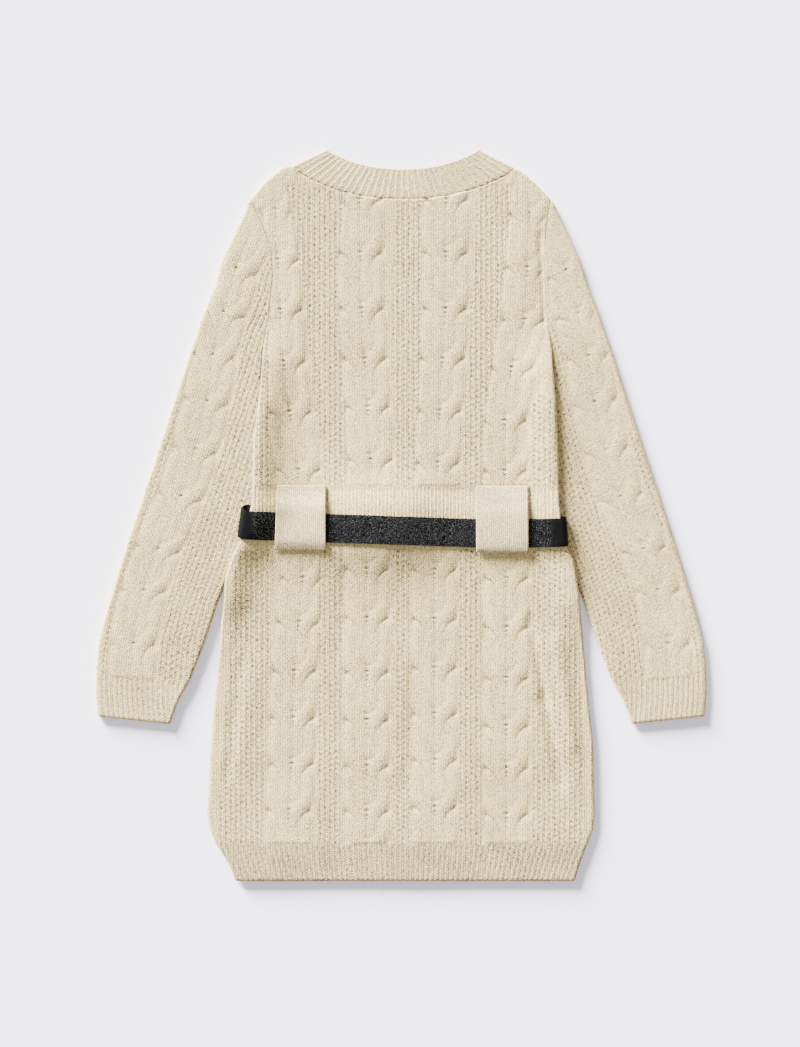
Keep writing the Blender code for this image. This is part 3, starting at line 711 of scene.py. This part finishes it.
def sleeve_relief(across, along):
    """Relief and painted shade of a sleeve: open stitches by the body, then a cable, and a ribbed cuff."""
    crossings, distances = np.array(SLEEVE_CABLE, float).T
    middle = np.interp(along, crossings, distances)
    dx = np.abs(across - middle)
    h = along - crossings[np.abs(along[..., None] - crossings).argmin(-1)]
    height = RELIEF * strands(dx, h)
    inside = cable_share(dx)
    mesh, painted_shade = mesh_stitches(across, along)
    open_part = soft_step((across - middle - 27) / 2.4) + soft_step((middle - 27 - across) / 2.4)
    open_part = np.clip(open_part, 0, 1) * (1 - inside)
    # eyes and crossing line: sunk into the relief and also painted shade
    eyes = np.exp(-(dx / 2.4) ** 2 - (h / 1.1) ** 2) * inside
    eyes = np.maximum(eyes, 0.5 * groove(dx, h) * inside)
    relief = height * inside + mesh * open_part - 0.3 * (1 - inside) * (1 - open_part) - eyes
    shade = np.maximum(painted_shade * open_part, eyes)
    cuff = soft_step((48 - along) / 3)
    rib, rib_shade = ribs(across, 5.6, 0.26)
    return relief * (1 - cuff) + (rib - 0.2) * cuff, shade * (1 - cuff) + rib_shade * cuff


def make_sleeve(name, side, knit):
    """A sleeve pressed flat: its top, its outer fold and its underside are one grid."""
    stride = 4
    rows = counted(570, 1.6, stride)
    plan = [list(row) for row in FREE_SLEEVE]
    for outer_x, outer_up, tuck, inner_up in TUCKED_SLEEVE:
        plan.append([outer_x, outer_up, float(half_width(side, inner_up)) - tuck, inner_up])
    plan = np.array(plan, float)
    lengths = np.concatenate(((0,), np.cumsum(np.hypot(*np.diff(plan[:, :2], axis=0).T))))
    t = np.linspace(0, lengths[-1], rows)
    outer_x, outer_up, inner_x, inner_up = (np.interp(t, lengths, plan[:, k]) for k in range(4))
    for line in (outer_x, outer_up, inner_x, inner_up):
        for _ in range(12):
            line[1:-1] = (line[:-2] + 2 * line[1:-1] + line[2:]) / 4
    width = np.hypot(inner_x - outer_x, inner_up - outer_up)
    top = np.linspace(1, 0, TOP_COLUMNS)
    turn = np.linspace(0, math.pi, TURN_COLUMNS)[1:-1]
    spare = (len(top) + len(turn) + BELOW_COLUMNS - 1) % stride
    bottom = np.linspace(0, 1, BELOW_COLUMNS - spare)
    columns = len(top) + len(turn) + len(bottom)
    x = np.empty((rows, columns))
    up = np.empty_like(x)
    z = np.empty_like(x)
    for row in range(rows):
        w = width[row]
        flat = w - FOLD_RADIUS
        reach = np.concatenate((
            FOLD_RADIUS + top * flat,
            FOLD_RADIUS - FOLD_RADIUS * np.sin(turn),
            FOLD_RADIUS + bottom * flat,
        ))
        level = np.concatenate((
            np.full(len(top), 2 * FOLD_MID),
            FOLD_MID + FOLD_RADIUS * np.cos(turn),
            np.zeros(len(bottom)),
        ))
        share = reach / w
        x[row] = side * (outer_x[row] + (inner_x[row] - outer_x[row]) * share)
        up[row] = outer_up[row] + (inner_up[row] - outer_up[row]) * share
        z[row] = level
    reach = np.hypot(x - side * outer_x[:, None], up - outer_up[:, None])
    along = np.repeat(t[:, None], columns, 1)
    relief, shade = sleeve_relief(reach, along)
    on_top = np.zeros(columns)
    on_top[:len(top)] = 1
    below = np.zeros(columns)
    below[-len(bottom):] = 1
    inset = width[:, None] - reach
    edge = side_drop(inset, np.minimum(inner_up, 640.0)[:, None]) * (on_top + below) * 0.95
    fold_calm = soft_step((reach - FOLD_RADIUS) / 6 + 0.25)
    calm = soft_step(inset / 6) * fold_calm
    soft = 0.5 * np.sin(along / 37 + reach / 19) + 0.4 * np.sin(along / 23 - reach / 31 + side)
    z = z + on_top * (np.minimum((RELIEF * relief + soft * 0.5) * calm, 0.75) - edge)
    z = z + below * (np.maximum(0.9 - relief, 0) * calm * 0.8 + edge)
    cuff_end = rounded(along, CUT_RADIUS)
    z = z - (on_top - below) * cuff_end
    outer = np.stack((x, up, z), -1)
    pick = every(stride)
    inner_z = np.where(on_top > 0, 2 * FOLD_MID - CLOTH, np.where(below > 0, CLOTH, 0.0)) + 0 * z
    inner_z = np.where((on_top + below)[None, :] > 0, inner_z, FOLD_MID + (z - FOLD_MID) * 0.25)
    pull = np.where((on_top + below)[None, :] > 0, 0.0, CLOTH)
    toward_x = side * (inner_x - outer_x)[:, None] / width[:, None]
    toward_up = (inner_up - outer_up)[:, None] / width[:, None]
    edge_pull = -np.clip(WALL - inset, 0, None) * (on_top + below)
    inner = np.stack((
        x + toward_x * (pull + edge_pull), up + toward_up * (pull + edge_pull), inner_z), -1)[pick]
    stitch = np.stack((reach / STITCH + 40 * below, along / STITCH), -1)
    shade = shade * (on_top + below)[None, :]
    piece = shell(name + "_knit", outer, inner, stride, knit, shade, stitch, inward=side < 0)
    keep(piece, "cream_knit", name)


def band_ends(panel, u):
    """Seam end and free end of a section of the neckband."""
    low, power, rim_low, rim_power = NECKS[panel][:4]
    high = SHOULDER[-1, 1] if u < 0 else SHOULDER[-1, 2]
    seam = (NECK_MID + NECK_HALF * u, low + (high - low) * abs(u) ** power)
    rim = (RIM_MID + RIM_HALF * u, rim_low + (RIM_PEAK - rim_low) * abs(u) ** rim_power)
    return np.array(seam), np.array(rim)


def make_neckband(knit):
    """A ribbed band round the neck: over the back, round both shoulders, and under it."""
    def out_of_fold(side):
        seam, rim = band_ends("back_panel", side)
        length = math.dist(seam, rim)
        return np.array((side * abs(rim[1] - seam[1]) / length, abs(rim[0] - seam[0]) / length))

    def fold_ends(side):
        outward = out_of_fold(side)
        following = band_ends("back_panel", side * 0.8)
        ends = []
        for start, end in zip(band_ends("back_panel", side), following):
            share = FOLD_RADIUS / float((start - end) @ outward)
            ends.append(start + (end - start) * share)
        return ends

    middle = np.linspace(-0.93, 0.93, 150)
    sections = []
    for u in middle:
        sections.append((band_ends("back_panel", u), (0.0, 0.0), 0.0))
    for angle in np.linspace(0, math.pi, 15):
        sections.append((fold_ends(1), out_of_fold(1), angle))
    for u in middle[::-2]:
        sections.append((band_ends("front_panel", u), (0.0, 0.0), math.pi))
    for angle in np.linspace(math.pi, 0, 15):
        sections.append((fold_ends(-1), out_of_fold(-1), angle))
    stride = 4
    points = np.array([[*ends[0], *ends[1], *reach, angle] for ends, reach, angle in sections])
    lengths = np.hypot(*np.diff(np.vstack((points[:, :4], points[:1, :4])), axis=0)[:, :2].T)
    turning = np.abs(np.diff(np.append(points[:, 6], points[0, 6]))) * FOLD_RADIUS
    distance = np.concatenate(((0,), np.cumsum(lengths + turning)))
    total = distance[-1]
    count = int(round(total / 0.85 / stride)) * stride
    wanted = np.linspace(0, total, count, endpoint=False)
    ring = np.vstack((points, points[:1]))
    fine = np.stack([np.interp(wanted, distance, ring[:, k]) for k in range(7)], -1)
    v = np.concatenate((np.linspace(0, 0.955, 17), (0.975, 0.988, 0.996, 1.0)))
    v = v - (1 - v) * 0.008
    seam, rim, reach, angle = fine[:, 0:2], fine[:, 2:4], fine[:, 4:6], fine[:, 6]
    depth = np.hypot(*(rim - seam).T)
    wave = np.cos(2 * math.pi * wanted / 8.0)
    to_rim = (1 - v)[None, :] * depth[:, None]
    from_seam = (v - v[0])[None, :] * depth[:, None]
    rounding = rounded(to_rim, CUT_RADIUS) + 0.6 * rounded(from_seam, CUT_RADIUS)
    rib = (0.17 * wave[:, None] - 0.15) * soft_step(to_rim / 3) * soft_step(from_seam / 4 + 0.3)
    half = CLOTH / 2 + rib - rounding
    bend = FOLD_RADIUS - CLOTH / 2

    def surface(offset):
        radius = bend + offset
        flat = np.hypot(*reach.T) < 0.5
        side_reach = np.where(flat, 0.0, 1.0)[:, None] * radius * np.sin(angle)[:, None]
        x = seam[:, :1] + (rim - seam)[:, :1] * v + reach[:, :1] * side_reach
        up = seam[:, 1:] + (rim - seam)[:, 1:] * v + reach[:, 1:] * side_reach
        z = FOLD_MID + radius * np.cos(angle)[:, None]
        return np.stack((x, up, z), -1)

    outer = surface(half)
    inner = surface(np.full_like(half, 0.4 - CLOTH / 2))[::stride, ::stride]
    # painted shade in the rib's troughs and along the seam
    shade = np.repeat(0.2 * np.maximum(0, -wave[:, None]) ** 2, len(v), 1)
    shade = np.maximum(shade, 0.22 * np.exp(-(from_seam / 1.4) ** 2) * (0.6 + 0.4 * wave[:, None]))
    stitch = np.stack((np.repeat((wanted / 4.0)[:, None], len(v), 1), to_rim / 2.9), -1)
    piece = shell("neckband_ribs", outer, inner, stride, knit, shade, stitch, closed=True, inward=True)
    keep(piece, "cream_knit", "neckband")


def make_loop(name, material):
    """A wide knitted loop that the belt passes through."""
    left, right, low, high = LOOPS[name]
    stride = 4
    s = np.linspace(0, 1, counted(right - left, 0.9, stride))
    t = np.linspace(0, 1, counted(high - low, 1.1, stride))
    up, x = np.meshgrid(low + t * (high - low), left + s * (right - left), indexing="ij")
    coarse_up, coarse_x = np.meshgrid(
        np.linspace(low + 1, high - 1, 40), np.linspace(left + 1, right - 1, 12), indexing="ij")
    base = resample(smooth(cad_heights(name, coarse_x, coarse_up), 4), len(t), len(s))
    sides = np.minimum(x - left, right - x)
    ends = np.minimum(up - low, high - up)
    thick = 1.9 + 0.55 * soft_step(ends / 15)
    roll = 0.5 * (rounded(sides, CUT_RADIUS) + rounded(ends, CUT_RADIUS))
    ridge = 0.10 * np.cos(2 * math.pi * x / 2.4) + 0.25 * np.sin(x / 17 + up / 13)
    z = base - LOOP_WALL + thick - roll + ridge * soft_step(sides / 3) * soft_step(ends / 3)
    x = x + LOOP_SLANT.get(name, 0.0) * (1 - s)[None, :] * t[:, None]
    outer = np.stack((x, up, z), -1)
    pick = every(stride)
    inner = outer[pick].copy()
    inner[..., 2] = base[pick] - LOOP_WALL
    # painted shade along the loop's sides and ends
    shade = 0.2 * np.exp(-(sides / 1.2) ** 2) + 0.12 * np.exp(-((ends - 1.5) / 0.9) ** 2)
    stitch = np.stack((x / 2.2, up / 2.2), -1)
    piece = shell(name + "_knit", outer, inner, stride, material, shade, stitch)
    keep(piece, "fine_knit", name)


def make_leather(name, node, leather, rounding):
    """A leather piece on its frame node, with softened edges."""
    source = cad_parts[node]
    mesh = source.data.copy()
    mesh.name = name
    mesh.materials.clear()
    mesh.materials.append(leather)
    piece = bpy.data.objects.new(name, mesh)
    bpy.context.scene.collection.objects.link(piece)
    weld = piece.modifiers.new("weld", "WELD")
    weld.merge_threshold = 0.00002
    bevel = piece.modifiers.new("edges", "BEVEL")
    bevel.width = rounding * MM
    bevel.segments = 3
    bevel.limit_method = "ANGLE"
    bevel.angle_limit = math.radians(50)
    finer = piece.modifiers.new("finer", "SUBSURF")
    finer.subdivision_type = "SIMPLE"
    finer.levels = 1
    finer.render_levels = 1
    view = bpy.context.evaluated_depsgraph_get()
    made = bpy.data.meshes.new_from_object(piece.evaluated_get(view))
    piece.modifiers.clear()
    piece.data = made
    made.shade_smooth()
    co = np.empty(len(made.vertices) * 3, np.float32)
    made.vertices.foreach_get("co", co)
    co = co.reshape(-1, 3) / MM
    worn = soft_step((np.abs(co[:, 0] - 1.5) - 159) / 6)
    layer = made.attributes.new("smooth", "FLOAT", "POINT")
    layer.data.foreach_set("value", worn.astype(np.float32))
    return keep(piece, "black_leather", node)


def make_studio():
    """Floor, lights, sky and camera."""
    bpy.ops.mesh.primitive_plane_add(size=12, location=(0, 0, -0.0002))
    floor = bpy.context.object
    floor.name = "floor"
    floor.data.materials.append(floor_material())
    lights = (
        # name, the way its light comes from, strength, apparent width in degrees
        ("key", (-0.58, 0.81, 0.27), 46.0, 28.0),
        ("fill", (0.3, -0.2, 1.6), 0.8, 60.0),
    )
    for name, source, strength, spread in lights:
        lamp = bpy.data.lights.new(name, "SUN")
        lamp.energy = strength
        lamp.angle = math.radians(spread)
        thing = bpy.data.objects.new(name, lamp)
        thing.location = Vector(source) * 2
        thing.rotation_euler = (-Vector(source)).to_track_quat("-Z", "Y").to_euler()
        bpy.context.scene.collection.objects.link(thing)
    sky = bpy.data.worlds.new("studio")
    sky.use_nodes = True
    sky.node_tree.nodes["Background"].inputs["Color"].default_value = SKY_COLOUR
    sky.node_tree.nodes["Background"].inputs["Strength"].default_value = 0.55
    bpy.context.scene.world = sky
    camera = bpy.data.cameras.new("camera")
    camera.sensor_width = 36.0
    distance = 2.6
    width = 1.1444         # what the picture spans on the floor, in metres
    camera.lens = camera.sensor_width * distance / width
    eye = bpy.data.objects.new("camera", camera)
    eye.location = (-0.0011, -0.0090, distance + 0.005)
    bpy.context.scene.collection.objects.link(eye)
    bpy.context.scene.camera = eye


knit = knit_material("cream_knit_yarn", KNIT_COLOUR, 0.30, 0.28, 0.24, 1.2)
fine_knit = knit_material("fine_knit_yarn", LOOP_COLOUR, 0.25, 0.2, 0.50, 0.35)
leather = leather_material()
metal = metal_material()

make_studio()
make_body(knit)
for sleeve, side in (("sleeve_left", -1), ("sleeve_right", 1)):
    make_sleeve(sleeve, side, knit)
make_neckband(knit)
make_leather("belt", "belt_strap", leather, 0.5)
make_leather("keeper", "belt_keeper", leather, 0.3)
for loop in LOOPS:
    make_loop(loop, fine_knit)
for node in ("buckle_frame", "buckle_prong"):
    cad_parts[node].data.materials.clear()
    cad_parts[node].data.materials.append(metal)
